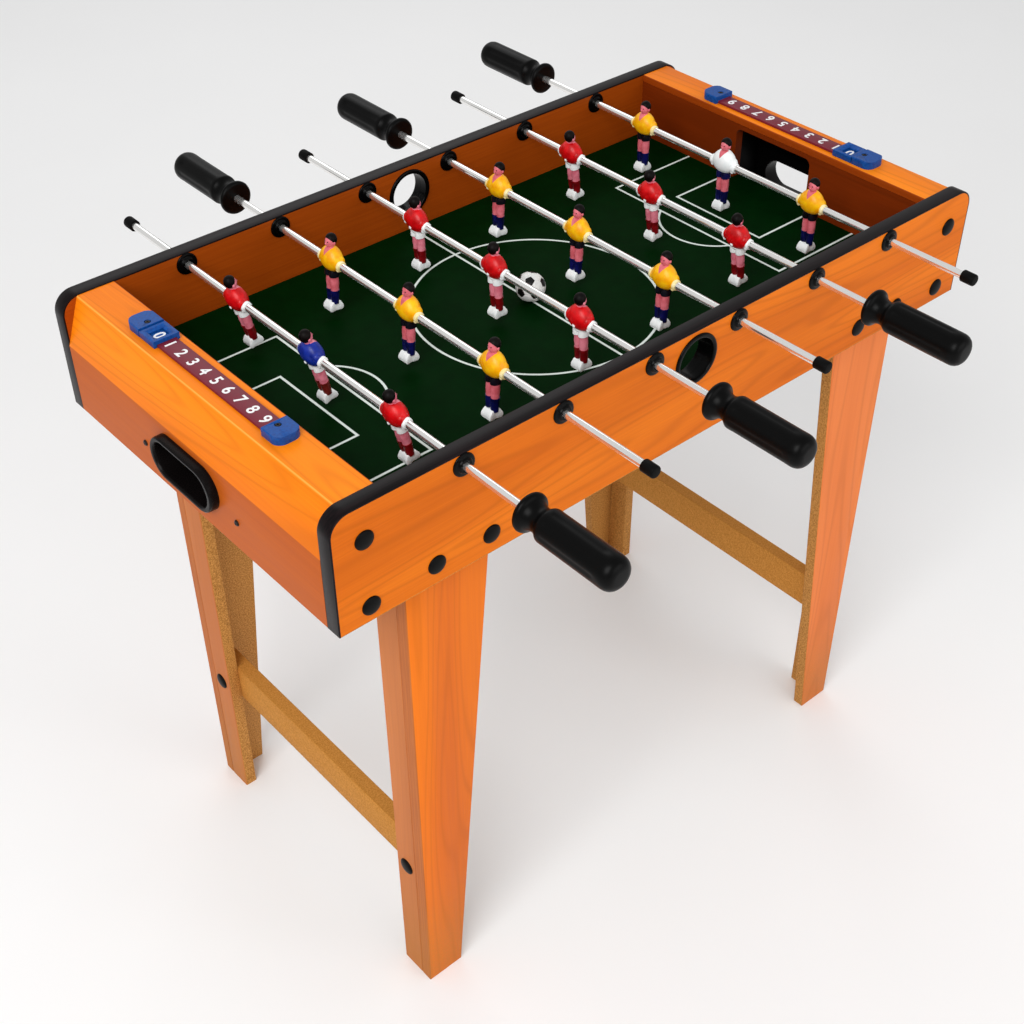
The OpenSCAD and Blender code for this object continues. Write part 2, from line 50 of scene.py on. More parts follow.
def lamp(name, place, aim, width, height, watts):
    """A broad soft light that hangs at its place and shines at its aim."""
    light = bpy.data.lights.new(name, "AREA")
    light.shape = "RECTANGLE"
    light.size = width
    light.size_y = height
    light.energy = watts
    holder = bpy.data.objects.new(name, light)
    holder.location = place
    holder.rotation_euler = (Vector(aim) - Vector(place)).to_track_quat("-Z", "Y").to_euler()
    bpy.context.scene.collection.objects.link(holder)


lamp("key_light", (-1.9, -1.0, 2.3), (0, 0, 0.5), 1.5, 1.5, 46)
lamp("front_light", (0.5, -2.6, 1.2), (0, 0, 0.4), 2.2, 1.6, 19)
lamp("back_light", (1.0, 2.1, 2.2), (0, 0, 0.5), 1.8, 1.2, 10)

room_light = 0.62
world = bpy.data.worlds.new("studio")
world.use_nodes = True
world.node_tree.nodes["Background"].inputs["Color"].default_value = (1, 1, 1, 1)
world.node_tree.nodes["Background"].inputs["Strength"].default_value = room_light
bpy.context.scene.world = world
bpy.context.scene.view_settings.view_transform = "Standard"

lens = bpy.data.cameras.new("camera")
lens.lens = 53.18
lens.clip_end = 50
camera = bpy.data.objects.new("camera", lens)
sight = Vector((0.50167, 0.58276, -0.63931))
across = Vector((0.75516, -0.65552, -0.00497))
across = (across - across.dot(sight) * sight / sight.length_squared).normalized()
upward = across.cross(sight).normalized()
camera.matrix_world = Matrix((across, upward, -sight.normalized())).transposed().to_4x4()
camera.location = (-0.74027, -0.82777, 1.22524)
bpy.context.scene.collection.objects.link(camera)
bpy.context.scene.camera = camera


def tint(code):
    """Turns a paint code such as e66a10 into the linear colour that a shader takes."""
    parts = [int(code[i:i + 2], 16) / 255 for i in (0, 2, 4)]
    return tuple(c / 12.92 if c <= 0.04045 else ((c + 0.055) / 1.055) ** 2.4 for c in parts)


class Value:
    """A shader socket that takes Python arithmetic; each operation adds its Math node."""

    def __init__(self, finish, socket):
        self.finish = finish
        self.socket = socket

    def math(self, operation, *inputs):
        return self.finish.node("ShaderNodeMath", {"operation": operation}, dict(enumerate(inputs)))

    def __add__(self, other):
        return self.math("ADD", self, other)

    def __sub__(self, other):
        return self.math("SUBTRACT", self, other)

    def __rsub__(self, other):
        return self.math("SUBTRACT", other, self)

    def __mul__(self, other):
        return self.math("MULTIPLY", self, other)

    def __truediv__(self, other):
        return self.math("DIVIDE", self, other)

    def __abs__(self):
        return self.math("ABSOLUTE", self)

    __radd__ = __add__
    __rmul__ = __mul__

    def __pow__(self, power):
        return self.math("POWER", self, power)

    def sine(self):
        return self.math("SINE", self)

    def root(self):
        return self.math("SQRT", self)

    def over(self, edge, soft=0.0003):
        """1 where the value is above the edge and 0 below it, with a soft step between."""
        return self.finish.node("ShaderNodeMapRange", {"interpolation_type": "SMOOTHSTEP"},
                                {0: self, 1: edge - soft, 2: edge + soft})

    def either(self, other):
        return self.math("MAXIMUM", self, other)

    def both(self, other):
        return self.math("MINIMUM", self, other)


class Finish:
    """A procedural material worked out from the coordinates of the object that it is on."""

    def __init__(self, name, roughness=0.5, metallic=0.0, shine=0.2):
        self.material = bpy.data.materials.new(name)
        self.material.use_nodes = True
        self.tree = self.material.node_tree
        self.shader = self.tree.nodes["Principled BSDF"]
        self.shader.inputs["Roughness"].default_value = roughness
        self.shader.inputs["Metallic"].default_value = metallic
        self.shader.inputs["Specular IOR Level"].default_value = shine
        self.place = self.node("ShaderNodeTexCoord", {}, {}, "Object")
        self.x, self.y, self.z = (self.node("ShaderNodeSeparateXYZ", {}, {0: self.place}, axis)
                                  for axis in "XYZ")

    def feed(self, socket, value):
        """Links a value to a socket, or sets the socket to a plain number or colour."""
        if isinstance(value, Value):
            self.tree.links.new(value.socket, socket)
        elif socket.type == "RGBA":
            socket.default_value = (*value, 1)
        else:
            socket.default_value = value

    def node(self, kind, settings, inputs, output=0):
        """Adds a node: its settings first, then what its sockets take."""
        made = self.tree.nodes.new(kind)
        for setting, choice in settings.items():
            if setting == "stops":
                while len(made.color_ramp.elements) < len(choice):
                    made.color_ramp.elements.new(1)
                for stop, (position, colour) in zip(made.color_ramp.elements, choice):
                    stop.position = position
                    stop.color = (*colour, 1)
            else:
                setattr(made, setting, choice)
        for socket, value in inputs.items():
            self.feed(made.inputs[socket], value)
        return Value(self, made.outputs[output])

    def noise(self, scale, stretch=(1, 1, 1), shift=(0, 0, 0), detail=3, warp=0.0):
        spot = self.node("ShaderNodeMapping", {}, {"Vector": self.place, "Location": shift, "Scale": stretch})
        return self.node("ShaderNodeTexNoise", {},
                         {"Vector": spot, "Scale": scale, "Detail": detail, "Distortion": warp})

    def mix(self, amount, below, above):
        return self.node("ShaderNodeMix", {"data_type": "RGBA"}, {0: amount, 6: below, 7: above}, 2)

    def ramp(self, amount, *stops):
        return self.node("ShaderNodeValToRGB", {"stops": stops}, {0: amount})

    def colour(self, value):
        self.feed(self.shader.inputs["Base Color"], value)

    def roughness(self, value):
        self.feed(self.shader.inputs["Roughness"], value)

    def relief(self, height, strength=0.2, depth=0.0005):
        self.feed(self.shader.inputs["Normal"], self.node(
            "ShaderNodeBump", {}, {"Height": height, "Strength": strength, "Distance": depth}))


floor_reach = 6
floor_mesh = bmesh.new()
bmesh.ops.create_grid(floor_mesh, x_segments=1, y_segments=1, size=floor_reach)
floor = bpy.data.objects.new("floor", bpy.data.meshes.new("floor"))
floor_mesh.to_mesh(floor.data)
floor_mesh.free()
floor_paint = Finish("floor_paint", roughness=0.9)
floor_paint.colour(floor_paint.mix(floor_paint.noise(3), (0.9, 0.9, 0.9), (0.93, 0.93, 0.93)))
floor.data.materials.append(floor_paint.material)
bpy.context.scene.collection.objects.link(floor)


# --- Side panels and their edge bands ---------------------------------------------------------
# Two long boards of 14 mm chipboard under an orange wood-print laminate, warmer outside than in;
# the inside is darkened partly as painted shade for the dim inside of the table.
# A dark plastic band is glued over each panel's top and end edges and round its top corners.

def merged(node):
    """A workable copy of a frame piece's mesh: its doubles joined and its flat faces made whole."""
    mesh = bmesh.new()
    mesh.from_mesh(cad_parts[node].data)
    bmesh.ops.remove_doubles(mesh, verts=mesh.verts, dist=0.000002)
    bmesh.ops.dissolve_limit(mesh, angle_limit=math.radians(0.4), verts=mesh.verts, edges=mesh.edges)
    return mesh


def softened(node, width, longer=0.02, steps=2, where=lambda middle: True):
    """A copy of a frame piece with its long arrises rounded over."""
    mesh = merged(node)
    arrises = [edge for edge in mesh.edges if edge.is_manifold and edge.calc_face_angle() > 0.5
               and edge.calc_length() > longer and where((edge.verts[0].co + edge.verts[1].co) / 2)]
    bmesh.ops.bevel(mesh, geom=arrises, offset=width, segments=steps, profile=0.5, affect="EDGES",
                    material=-1, clamp_overlap=True)
    return mesh


def make_piece(name, mesh, finishes, smooth=30):
    """Turns a mesh into a named piece with its finishes, smooth except across sharp edges."""
    data = bpy.data.meshes.new(name)
    mesh.to_mesh(data)
    mesh.free()
    for finish in finishes:
        data.materials.append(finish.material)
    data.shade_smooth()
    data.set_sharp_from_angle(angle=math.radians(smooth))
    piece = bpy.data.objects.new(name, data)
    bpy.context.scene.collection.objects.link(piece)
    return piece


def coat_node(node, finish):
    """Gives a piece that keeps its frame shape a new finish."""
    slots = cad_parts[node].data.materials
    slots.clear()
    slots.append(finish.material)


ring_count = 95
fibre_scale = 700


def wood_figure(finish, along, shift=0.0):
    """Broad figure, contour lines and fine fibre that run along one axis, each from 0 to 1."""
    slow = {"X": (0.09, 1, 1), "Y": (1, 0.09, 1), "Z": (1, 1, 0.09)}[along]
    fine = {"X": (0.02, 1, 1), "Y": (1, 0.02, 1), "Z": (1, 1, 0.02)}[along]
    place = (shift, shift * 1.7, shift * 0.6)
    figure = finish.noise(16, slow, place, detail=1, warp=0.35)
    waves = (figure * ring_count).sine() * 0.5 + 0.5
    fibre = finish.noise(fibre_scale, fine, place, detail=4)
    return figure, waves, fibre


def laminate(name, along, light, dark, shift=0.0, figured=0.5):
    """A wood-print skin: the finish, its colour, and the fibre that its gloss follows."""
    finish = Finish(name, shine=0.08)
    figure, waves, fibre = wood_figure(finish, along, shift)
    body = finish.ramp(figure * 0.75 + fibre * 0.25, (0.3, dark), (0.62, light))
    lines = waves ** 5 * fibre * figured
    return finish, finish.mix(lines, body, tuple(c * 0.6 for c in dark)), fibre


bare_light = tint("d29650")
bare_dark = tint("966026")


def bare_board(finish):
    """The speckled chip face of board that has no laminate."""
    chips = finish.noise(700, detail=5)
    flecks = finish.noise(1100, (1, 1, 0.4), detail=2)
    return finish.mix(flecks.over(0.6, 0.06) * 0.6, finish.ramp(chips, (0.3, bare_dark), (0.7, bare_light)),
                      tuple(c * 0.6 for c in bare_dark))


def on_rim(middle):
    """True on the band's outer line, which runs up the ends, round the corners and over the top."""
    out = abs(middle.x) - (band_end - band_corner)
    rise = middle.z - (band_top - band_corner)
    return max(out, rise, math.hypot(max(out, 0), max(rise, 0))) > band_corner - skin_depth


skin_depth = 0.0005
band_end, _, band_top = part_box("edge_band_front")[1]
band_corner = 0.017
panel_thick = 0.014
panel_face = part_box("side_panel_back")[1][1]
panel_inner_face = panel_face - panel_thick
panel_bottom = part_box("side_panel_front")[0][2]
band_light = tint("1a0f11")
band_dark = tint("050304")
for side in ("front", "back"):
    panel_finish, outer, panel_fibre = laminate("panel_laminate_" + side, "X", tint("e27512"),
                                                tint("c25706"), 0.0 if side == "front" else 3.0)
    # The inside faces' darker print is partly the laminate's own and partly painted shade for the dim inside of
    # the table.
    inner = panel_finish.mix(panel_fibre, tint("8e3a06"), tint("ac4c0a"))
    outside = abs(panel_finish.y).over(panel_inner_face + skin_depth)
    veneered = panel_finish.z.over(panel_bottom + skin_depth)
    panel_finish.colour(panel_finish.mix(veneered, bare_board(panel_finish),
                                         panel_finish.mix(outside, inner, outer)))
    panel_finish.roughness(panel_fibre * 0.15 + 0.4)
    panel_finish.relief(panel_fibre, 0.05, 0.0002)
    coat_node("side_panel_" + side, panel_finish)

    band_finish = Finish("edge_band_" + side, roughness=0.3, shine=0.1)
    streaks = band_finish.noise(900, (0.02, 1, 0.3), detail=3)
    band_finish.colour(band_finish.ramp(streaks, (0.35, band_dark), (0.75, band_light)))
    band_finish.roughness(streaks * 0.2 + 0.25)
    band_finish.relief(streaks, 0.15, 0.0002)
    band = make_piece("edge_strip_" + side,
                      softened("edge_band_" + side, 0.0005, longer=0.0003, where=on_rim), [band_finish])
    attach(band, "table")
    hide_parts("edge_band_" + side)


# --- End boards, goal walls and corner blocks -------------------------------------------------
# Each end is closed by one board folded along two grooves: a flat rail on top, a sloping face and
# an upright apron, all in the same laminate, with the apron painted darker as painted shade and a pale
# painted highlight along the top fold. The rail's inner edge and the goal wall inside it have the darker
# inner print, darkened partly as painted shade for the inside of the table.
# Softwood blocks glued in the corners hold the panels' bolts.

rail_low, rail_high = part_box("end_board_right")
rail_top = rail_high[2]
rail_edge = rail_low[0]
rail_thick = 0.007
apron_face = rail_high[0]
slope_reach = 0.015
slope_fall = 0.0405
slope_length = math.hypot(slope_reach, slope_fall)
# The darker inner print is partly the laminate's own and partly painted shade for the dim inside of the table.
inner_print_and_shade = (tint("8c3408"), tint("a8480e"))
# The apron's colour is the rail's laminate painted darker: painted shade for the upright face.
apron_painted_shade = (tint("a04516"), tint("ae521e"))
for end, shift in (("left", 5.0), ("right", 8.0)):
    board_finish, skin, board_fibre = laminate("end_board_laminate_" + end, "Y", tint("fb8a12"),
                                               tint("e06c08"), shift)
    across_table, height = abs(board_finish.x), board_finish.z
    out = across_table - (apron_face - slope_reach)
    above_slope = (out * slope_fall + (height - rail_top) * slope_reach) / slope_length
    inner_edge = 1 - across_table.over(rail_edge + 0.0008)
    on_face = height.over(rail_top - skin_depth).either(across_table.over(apron_face - skin_depth))
    on_face = on_face.either(above_slope.over(-0.0006))
    on_face = on_face.either(height.over(rail_top - rail_thick).both(inner_edge))
    below_fold = 1 - height.over(rail_top - slope_fall, 0.0006)
    # A pale line painted along the fold between the rail and the slope: a painted highlight.
    fold_highlight = 1 - abs(out).over(0.0004, 0.0003)
    skin = board_finish.mix(fold_highlight * 0.5, skin, tint("ffc060"))
    # The rail's inner edge takes the darker inner print, partly painted shade.
    skin = board_finish.mix(inner_edge, skin, board_finish.mix(board_fibre, *inner_print_and_shade))
    # Below the fold the apron takes the darker colour, as painted shade.
    skin = board_finish.mix(below_fold * 0.8, skin, board_finish.mix(board_fibre, *apron_painted_shade))
    board_finish.colour(board_finish.mix(on_face, bare_board(board_finish), skin))
    board_finish.roughness(board_fibre * 0.12 + 0.33)
    board_finish.relief(board_fibre, 0.05, 0.0002)
    board = make_piece("folded_end_board_" + end, softened("end_board_" + end, 0.0007, longer=0.2),
                       [board_finish])
    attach(board, "table")
    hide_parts("end_board_" + end)

    # The goal wall's darker print is partly the laminate's own and partly painted shade for the inside of the
    # table.
    wall_finish, wall_skin, wall_fibre = laminate("goal_wall_laminate_" + end, "Y", tint("8c3408"),
                                                  tint("702804"), shift + 1)
    wall_finish.colour(wall_skin)
    wall_finish.relief(wall_fibre, 0.05, 0.0002)
    coat_node("goal_wall_" + end, wall_finish)

block_finish = Finish("softwood_blocks", roughness=0.75, shine=0.1)
_, block_waves, block_fibre = wood_figure(block_finish, "Z", 2.0)
block_finish.colour(block_finish.mix(block_waves * 0.5, tint("d9b07a"), tint("b98a50")))
block_finish.relief(block_fibre, 0.3, 0.0003)
coat_node("corner_blocks", block_finish)


# --- Field board ------------------------------------------------------------------------------
# A thin hardboard sheet slid into grooves in the side panels, painted dark green on top with the
# pitch's white lines printed on it, and bare brown hardboard underneath.

field_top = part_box("field_board")[1][2]
line_half_width = 0.0011
circle_radius = 0.108
penalty_front, penalty_side = 0.196, 0.103
goal_area_front, goal_area_side = 0.227, 0.052
arc_centre, arc_radius = 0.2186, 0.0486
field_finish = Finish("field_paint", roughness=0.5, shine=0.02)
along, over_way = abs(field_finish.x), abs(field_finish.y)


def drawn(distance):
    """1 within the printed line's half width of a distance of nothing."""
    return 1 - abs(distance).over(line_half_width, 0.00025)


def drawn_round(centre, radius):
    """A circle at each end, its centre that far from the halfway line."""
    away = along - centre
    return drawn((away * away + over_way * over_way).root() - radius)


def drawn_box(front, side):
    """The front line and the two side lines of a box before each goal."""
    return drawn(along - front).both(1 - over_way.over(side + 0.001)).either(
        drawn(over_way - side).both(along.over(front - 0.001)))


lines = drawn_round(0, circle_radius).either(drawn(field_finish.x))
lines = lines.either(drawn_box(penalty_front, penalty_side))
lines = lines.either(drawn_box(goal_area_front, goal_area_side))
lines = lines.either(drawn_round(arc_centre, arc_radius).both(1 - along.over(penalty_front)))
mottle = field_finish.noise(60, detail=4)
speckle = field_finish.noise(1500, detail=2)
paint = field_finish.ramp(mottle * 0.6 + speckle * 0.4, (0.3, tint("001a03")), (0.7, tint("002305")))
paint = field_finish.mix(lines * 0.96, paint, tint("e9f4ee"))
hardboard = field_finish.ramp(field_finish.noise(300, detail=5), (0.3, tint("5a3a22")), (0.7, tint("7a5232")))
field_finish.colour(field_finish.mix(field_finish.z.over(field_top - skin_depth), hardboard, paint))
field_finish.roughness(speckle * 0.15 + 0.5)
field_finish.relief(speckle, 0.08, 0.0001)
coat_node("field_board", field_finish)


# --- Goal liners, ball outlets and small screws -----------------------------------------------
# Behind each goal a black moulded box slopes down to the ball outlet, whose oval collar comes
# through the apron and has a raised rounded rim. A small blackened screw on each side clamps them.

def black_plastic(name, roughness, texture=0.12, shade="030303"):
    """Moulded black plastic with a fine satin skin."""
    finish = Finish(name, roughness=roughness, shine=0.08)
    skin = finish.noise(1400, detail=3)
    finish.colour(finish.mix(skin, tint(shade), tuple(c * 1.9 for c in tint(shade))))
    finish.roughness(skin * 0.16 + (roughness - 0.08))
    finish.relief(skin, texture, 0.0001)
    return finish


def turned(outline, steps=48, closed=True):
    """A turned part: half its outline, as radius and height, is spun round the upright axis."""
    mesh = bmesh.new()
    points = [mesh.verts.new((radius, 0, height)) for radius, height in outline]
    pairs = list(zip(points, points[1:])) + ([(points[-1], points[0])] if closed else [])
    edges = [mesh.edges.new(pair) for pair in pairs]
    bmesh.ops.spin(mesh, geom=points + edges, cent=(0, 0, 0), axis=(0, 0, 1), dvec=(0, 0, 0),
                   angle=2 * math.pi, steps=steps, use_merge=True)
    bmesh.ops.remove_doubles(mesh, verts=mesh.verts, dist=0.000001)
    bmesh.ops.recalc_face_normals(mesh, faces=mesh.faces)
    return mesh


def pointed(mesh, place, direction):
    """Stands a part made along +Z at its place, pointing in the given direction."""
    turn = Vector((0, 0, 1)).rotation_difference(Vector(direction)).to_matrix().to_4x4()
    bmesh.ops.transform(mesh, matrix=Matrix.Translation(place) @ turn, verts=mesh.verts)
    return mesh


def gathered(meshes):
    """Several meshes as one."""
    whole = bmesh.new()
    for mesh in meshes:
        carrier = bpy.data.meshes.new("carrier")
        mesh.to_mesh(carrier)
        mesh.free()
        whole.from_mesh(carrier)
        bpy.data.meshes.remove(carrier)
    return whole


def mm(*pairs):
    """An outline given in millimetres, as metres."""
    return [(a / 1000, b / 1000) for a, b in pairs]


def only(kind, geometry):
    """The corners or the edges among what an operator gives back."""
    return [part for part in geometry if isinstance(part, kind)]


def oval_collar():
    """The collar's section dragged round an oval: half turn, straight, half turn, straight."""
    half_straight = 0.022
    end_extra = 0.0015
    sleeve_reach = 0.0176
    section = mm((15, -9), (17, -9), (17, 0), (19, 0), (19, 6), (18.6, 7.2), (17.8, 7.9), (16.9, 8),
                 (16, 7.7), (15.4, 6.9), (15, 5.6))
    mesh = bmesh.new()
    points = [mesh.verts.new((radius, half_straight, height)) for radius, height in section]
    edges = [mesh.edges.new(pair) for pair in zip(points, points[1:] + points[:1])]
    strip = points + edges
    for centre in (half_straight, -half_straight):
        swept = bmesh.ops.spin(mesh, geom=strip, cent=(0, centre, 0), axis=(0, 0, 1), dvec=(0, 0, 0),
                               angle=math.pi, steps=20)
        last = only(bmesh.types.BMEdge, swept["geom_last"])
        run = bmesh.ops.extrude_edge_only(mesh, edges=last)["geom"]
        ends = only(bmesh.types.BMVert, run)
        bmesh.ops.translate(mesh, vec=(0, -2 * centre, 0), verts=ends)
        strip = ends + [edge for edge in only(bmesh.types.BMEdge, run) if all(v in ends for v in edge.verts)]
    bmesh.ops.remove_doubles(mesh, verts=mesh.verts, dist=0.00001)
    for vert in mesh.verts:
        beyond = max(abs(vert.co.y) - half_straight, 0)
        if math.hypot(vert.co.x, beyond) > sleeve_reach:
            vert.co.y += math.copysign(end_extra, vert.co.y)
    bmesh.ops.recalc_face_normals(mesh, faces=mesh.faces)
    return mesh


def cross_screw():
    """A small round-headed screw with a cross recess."""
    mesh = turned(mm((1.7, 1.5), (2.3, 1.1), (2.6, 0.4), (2.6, 0), (1.25, 0), (1.25, -8.5), (0, -10)),
                  24, False)
    rim = [edge for edge in mesh.edges if edge.is_boundary]
    arm, width = 0.00125, 0.00036
    head_top, recess_depth = 0.0015, 0.0009
    corners = [(arm, width), (width, width), (width, arm), (-width, arm), (-width, width), (-arm, width)]
    corners += [(-x, -y) for x, y in corners]
    cross = [mesh.verts.new((x, y, head_top)) for x, y in corners]
    cross_edges = [mesh.edges.new(pair) for pair in zip(cross, cross[1:] + cross[:1])]
    bmesh.ops.bridge_loops(mesh, edges=rim + cross_edges)
    walls = bmesh.ops.extrude_edge_only(mesh, edges=cross_edges)["geom"]
    deep = only(bmesh.types.BMVert, walls)
    bmesh.ops.translate(mesh, vec=(0, 0, -recess_depth), verts=deep)
    bmesh.ops.contextual_create(mesh, geom=[edge for edge in only(bmesh.types.BMEdge, walls)
                                            if all(v in deep for v in edge.verts)])
    bmesh.ops.recalc_face_normals(mesh, faces=mesh.faces)
    return mesh


liner_finish = black_plastic("liner_plastic", 0.5)
outlet_low, outlet_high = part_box("ball_outlet_right")
outlet_height = (outlet_low[2] + outlet_high[2]) / 2
outlet_finish = black_plastic("outlet_plastic", 0.28, shade="080606")
for end, sign in (("left", -1), ("right", 1)):
    coat_node("goal_liner_" + end, liner_finish)
    collar = make_piece("outlet_collar_" + end,
                        pointed(oval_collar(), (sign * apron_face, 0, outlet_height), (sign, 0, 0)),
                        [outlet_finish])
    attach(collar, "table")
    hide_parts("ball_outlet_" + end)

screw_finish = Finish("blackened_screw_steel", roughness=0.35, metallic=0.8)
screw_tone = screw_finish.noise(900)
screw_finish.colour(screw_finish.mix(screw_tone, tint("1c1a1a"), tint("3a3534")))
screw_finish.roughness(screw_tone * 0.3 + 0.2)
outlet_screw_out = 0.064
outlet_screw_height = 0.521
counter_x = 0.31225
counter_block_thick = 0.0055
counter_screws = (0.092, -0.08305)
screws = [pointed(cross_screw(), (end * apron_face, side * outlet_screw_out, outlet_screw_height),
                  (end, 0, 0)) for end in (-1, 1) for side in (-1, 1)]
screws += [pointed(cross_screw(), (end * counter_x, -end * y, rail_top + counter_block_thick), (0, 0, 1))
           for end in (-1, 1) for y in counter_screws]
screw_set = make_piece("cross_head_screws", gathered(screws), [screw_finish])
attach(screw_set, "table")
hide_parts("small_screws")


# --- Serve rings and rod bushings -------------------------------------------------------------
# Glossy black nylon, each made as two halves pressed in from both faces of a side panel: a wide
# ring round the hole where the ball is served, and a flange with a raised hub round each rod.

ring_low, ring_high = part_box("serve_ring_halves")
ring_height = (ring_low[2] + ring_high[2]) / 2
nylon = black_plastic("nylon", 0.2, 0.05)
ring_half = mm((18.4, -6.9), (20, -6.9), (20, 0), (22.5, 0), (22.5, 0.7), (22.2, 1.3), (21.6, 1.7),
               (20.9, 1.8), (19.5, 1.8), (18.9, 1.6), (18.5, 1.1), (18.4, 0.5))
bushing_half = mm((3.3, -6.9), (6, -6.9), (6, 0), (9.6, 0), (9.6, 0.5), (9.3, 1.1), (8.7, 1.45), (7.2, 1.5),
                  (6.4, 1.7), (6, 2.3), (5.8, 3), (5.4, 3.35), (4.9, 3.4), (3.8, 3.4), (3.4, 3.2),
                  (3.3, 2.8))
rods = [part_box("rod_%d" % number) for number in range(1, 7)]
rod_places = [(low[0] + high[0]) / 2 for low, high in rods]
rod_height = (rods[0][0][2] + rods[0][1][2]) / 2
seats = [(side * face, side if face == panel_face else -side) for side in (-1, 1)
         for face in (panel_face, panel_inner_face)]
rings = make_piece("serve_rings", gathered(
    [pointed(turned(ring_half, 64), (0, y, ring_height), (0, way, 0)) for y, way in seats]), [nylon], 50)
bushings = make_piece("rod_bushings", gathered(
    [pointed(turned(bushing_half, 40), (x, y, rod_height), (0, way, 0))
     for x in rod_places for y, way in seats]), [nylon], 50)
for piece, node in ((rings, "serve_ring_halves"), (bushings, "rod_bushing_halves")):
    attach(piece, "table")
    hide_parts(node)


# --- Bolts ------------------------------------------------------------------------------------
# Carriage bolts under domed black caps: two at each end of a side panel into the corner blocks,
# two more through the panel into each leg, and one through each leg into its cross bar.

bolt_cap = mm((0, 2.6), (2.6, 2.5), (4.8, 2.2), (6.4, 1.75), (7.4, 1.25), (7.9, 0.75), (8, 0.3), (7.9, 0),
              (3, 0), (3, -23.2), (2.4, -24), (0, -24))
bolt_finish = black_plastic("bolt_cap_plastic", 0.4, 0.2)
block_bolts = ((0.3178, 0.5684), (0.3165, 0.508))
leg_bolts = ((0.2583, 0.5116), (0.20743, 0.5116))
leg_end_face = 0.2783
bar_bolt_out, bar_bolt_height = 0.148, 0.146
bolt_spots = []
for end in (-1, 1):
    for side in (-1, 1):
        for out, height in block_bolts + leg_bolts:
            bolt_spots.append(((end * out, side * panel_face, height), (0, side, 0)))
        bolt_spots.append(((end * leg_end_face, side * bar_bolt_out, bar_bolt_height), (end, 0, 0)))
bolt_set = make_piece("capped_bolts", gathered(
    [pointed(turned(bolt_cap, 32, False), place, way) for place, way in bolt_spots]), [bolt_finish], 50)
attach(bolt_set, "table")
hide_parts("bolts")


# --- Rods, end caps and handles ---------------------------------------------------------------
# Chromed steel tube, with a black rubber cap pushed on one end and a hard black plastic handle on
# the other: a round-edged collar, a hollow neck and a fluted grip with a rounded end.

steel = Finish("chromed_steel", metallic=0.9, shine=0.5)
draw_marks = steel.noise(500, (1, 0.01, 1), detail=1)
steel.colour(steel.mix(draw_marks, tint("f2f2f0"), tint("fdfcfa")))
steel.roughness(draw_marks * 0.03 + 0.13)
cap_outline = mm((0, 12), (3.6, 12), (4.3, 11.8), (4.8, 11.3), (5, 10.6), (5, 0.5), (4.7, 0), (3.3, 0),
                 (3.3, 9), (0, 9))
cap_finish = black_plastic("cap_rubber", 0.6, 0.2)
collar_outline = mm((3.3, 0), (12.4, 0), (13.8, 0.35), (14.8, 1.3), (15.2, 2.8), (14.9, 4.2), (14, 5.2),
                    (12.9, 5.8), (11.8, 7.2), (10.8, 9), (10.1, 11), (9.8, 13), (10, 15), (10.7, 17),
                    (11.6, 18.6), (12.5, 19.8), (13, 20.7))
grip_outline = mm((13.2, 21.8), (13.2, 24), (13.2, 25.5), (13.2, 27), (13.2, 38), (13.2, 50), (13.2, 62),
                  (13.2, 72), (13.2, 74.5), (13.2, 76.5), (13.2, 80), (13, 82.6), (12.3, 84.8),
                  (11.1, 86.6), (9.4, 88), (7.4, 88.8), (5.2, 89), (0, 89))
grip_bore = mm((0, 62.3), (3.3, 62.3))
grip_radius = 0.0132
flutes = 8
flute_low, flute_high = 0.0245, 0.077
flute_fade = 0.0025
flute_depth = 0.0006
grip_finish = black_plastic("grip_plastic", 0.34, 0.12)


def fluted_grip():
    """The turned handle with eight shallow flutes along the grip."""
    mesh = turned(collar_outline + grip_outline + grip_bore, 64)
    for vert in mesh.verts:
        reach = math.hypot(vert.co.x, vert.co.y)
        if reach > grip_radius - 0.0001 and flute_low < vert.co.z < flute_high:
            wave = max(math.cos(flutes * math.atan2(vert.co.y, vert.co.x)), 0)
            run = min((vert.co.z - flute_low) / flute_fade, (flute_high - vert.co.z) / flute_fade, 1)
            shrink = 1 - flute_depth * wave * run / reach
            vert.co.x *= shrink
            vert.co.y *= shrink
    return mesh


for number, x in enumerate(rod_places, 1):
    side = -1 if number % 2 else 1
    tube = make_piece("rod_tube_%d" % number, merged("rod_%d" % number), [steel], 40)
    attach(tube, "rod_assembly_%d" % number)
    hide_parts("rod_%d" % number)
    handle_low, handle_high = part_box("handle_%d" % number)
    start = min(abs(handle_low[1]), abs(handle_high[1]))
    grip = make_piece("grip_%d" % number,
                      pointed(fluted_grip(), (x, side * start, rod_height), (0, side, 0)), [grip_finish], 40)
    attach(grip, "rod_assembly_%d" % number)
    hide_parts("handle_%d" % number)
    cap_low, cap_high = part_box("rod_cap_%d" % number)
    start = min(abs(cap_low[1]), abs(cap_high[1]))
    cap = make_piece("end_cap_%d" % number,
                     pointed(turned(cap_outline, 32, False), (x, -side * start, rod_height), (0, -side, 0)),
                     [cap_finish], 40)
    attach(cap, "rod_carrier_%d" % number)
    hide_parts("rod_cap_%d" % number)


# --- Players and goalkeepers ------------------------------------------------------------------
# Moulded plastic men, hand-painted: full shirt with the hands held back beside the rod, shorts,
# bare knees, socks and a wedge-shaped pair of boots that strikes the ball.

SHIRT, SKIN, HAIR, TRIM, SHORTS, SOCKS, BOOTS, EYES = range(8)


def ball_shape(centre, size, part, segments=20, rings=12):
    """A rounded lump of the figure, in millimetres from the rod's axis."""
    mesh = bmesh.new()
    bmesh.ops.create_uvsphere(mesh, u_segments=segments, v_segments=rings, radius=1)
    bmesh.ops.scale(mesh, vec=[s / 1000 for s in size], verts=mesh.verts)
    bmesh.ops.translate(mesh, vec=[c / 1000 for c in centre], verts=mesh.verts)
    for face in mesh.faces:
        face.material_index = part
    return mesh


